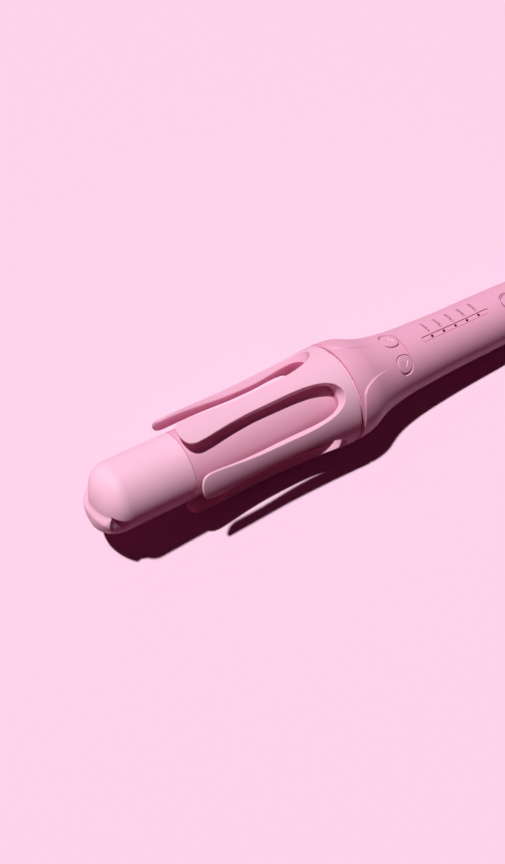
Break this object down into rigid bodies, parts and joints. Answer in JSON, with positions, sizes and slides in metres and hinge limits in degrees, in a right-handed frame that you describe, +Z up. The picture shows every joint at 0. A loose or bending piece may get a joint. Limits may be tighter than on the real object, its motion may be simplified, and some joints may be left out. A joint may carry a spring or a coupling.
{
  "type": "automatic hair curler",
  "caption": "Automatic hair curler: a fixed heated two-petal barrel with a cool tip inside a rotating cage of claws, on a tapered handle with two direction buttons, indicator lights and a power button",
  "frame": {"origin": "middle of the overall box in plan, at the level of the collar's lowest line; the tool's axis is 29.5 mm above it", "axes": "+X from the rear of the handle to the cool tip, +Z up on the side of the buttons, +Y completes a right-handed frame"},
  "size_m": [0.3462, 0.0588, 0.059],
  "materials": {
    "shell_pink": "satin moulded pink plastic",
    "button_pink": "satin moulded pink plastic",
    "barrel_pink": "smooth baked coating on aluminium",
    "smoked_clear": "clear smoked light guide",
    "nylon": "natural moulded nylon",
    "heat_resin": "pale heat-proof resin or ceramic",
    "black": "black moulded component body",
    "board": "green circuit laminate",
    "steel": "zinc plated steel",
    "aluminium": "bare aluminium",
    "brass": "turned brass gearbox case"
  },
  "bodies": {
    "root": {"handle_shell": "shell_pink", "light_guide": "smoked_clear", "barrel_shell": "barrel_pink", "cool_tip": "shell_pink", "tip_insulator": "heat_resin", "tip_screw": "steel", "heat_spreader_upper": "aluminium", "heat_spreader_lower": "aluminium", "ptc_heater": "heat_resin", "thermistor": "black", "thermal_fuse": "aluminium", "barrel_base": "heat_resin", "cage_bush": "nylon", "retaining_clip": "steel", "spindle_tube": "steel", "idler_pin": "steel", "gearbox": "brass", "motor": "steel", "bulkhead": "shell_pink", "bulkhead_screw_1": "steel", "bulkhead_screw_2": "steel", "chassis": "nylon", "control_board": "board", "controller_chip": "black", "tact_switch_1": "black", "tact_switch_2": "black", "tact_switch_3": "black", "indicator_led_1": "heat_resin", "indicator_led_2": "heat_resin", "indicator_led_3": "heat_resin", "indicator_led_4": "heat_resin", "indicator_led_5": "heat_resin", "power_board": "board", "transformer": "black", "smoothing_capacitor": "aluminium", "end_cap": "shell_pink", "end_cap_screw_1": "steel", "end_cap_screw_2": "steel"},
    "cage": {"claw_cage": "shell_pink", "ring_gear": "nylon", "ring_gear_screw_1": "steel", "ring_gear_screw_2": "steel", "ring_gear_screw_3": "steel"},
    "idler": {"idler_gear": "nylon"},
    "motor_output": {"pinion": "nylon", "drive_shaft": "steel"},
    "key_left": {"turn_left_button": "button_pink"},
    "key_right": {"turn_right_button": "button_pink"},
    "key_power": {"power_button": "button_pink"},
    "cord_swivel": {"cord_gland": "button_pink", "gland_clip": "steel"}
  },
  "joints": [
    {"name": "cage_spin", "type": "hinge", "parent": "root", "child": "cage", "pos_m": [0.02288, 0, 0.0295], "axis": [1, 0, 0], "continuous": true},
    {"name": "idler_spin", "type": "hinge", "parent": "root", "child": "idler", "pos_m": [0.02378, 0.01017, 0.02312], "axis": [1, 0, 0], "continuous": true},
    {"name": "pinion_spin", "type": "hinge", "parent": "root", "child": "motor_output", "pos_m": [0.02378, 0, 0.0205], "axis": [1, 0, 0], "continuous": true},
    {"name": "left_key_press", "type": "slide", "parent": "root", "child": "key_left", "axis": [0, 0.4147, -0.91], "range_m": [0, 0.0006], "stiffness_N_per_m": 500},
    {"name": "right_key_press", "type": "slide", "parent": "root", "child": "key_right", "axis": [0, -0.4147, -0.91], "range_m": [0, 0.0006], "stiffness_N_per_m": 500},
    {"name": "power_key_press", "type": "slide", "parent": "root", "child": "key_power", "axis": [0, 0, -1], "range_m": [0, 0.0006], "stiffness_N_per_m": 500},
    {"name": "cord_turn", "type": "hinge", "parent": "root", "child": "cord_swivel", "pos_m": [-0.17282, 0, 0.0295], "axis": [1, 0, 0], "continuous": true}
  ],
  "couplings": [
    {"joint": "idler_spin", "follows": "cage_spin", "ratio": 3},
    {"joint": "pinion_spin", "follows": "cage_spin", "ratio": -4}
  ]
}
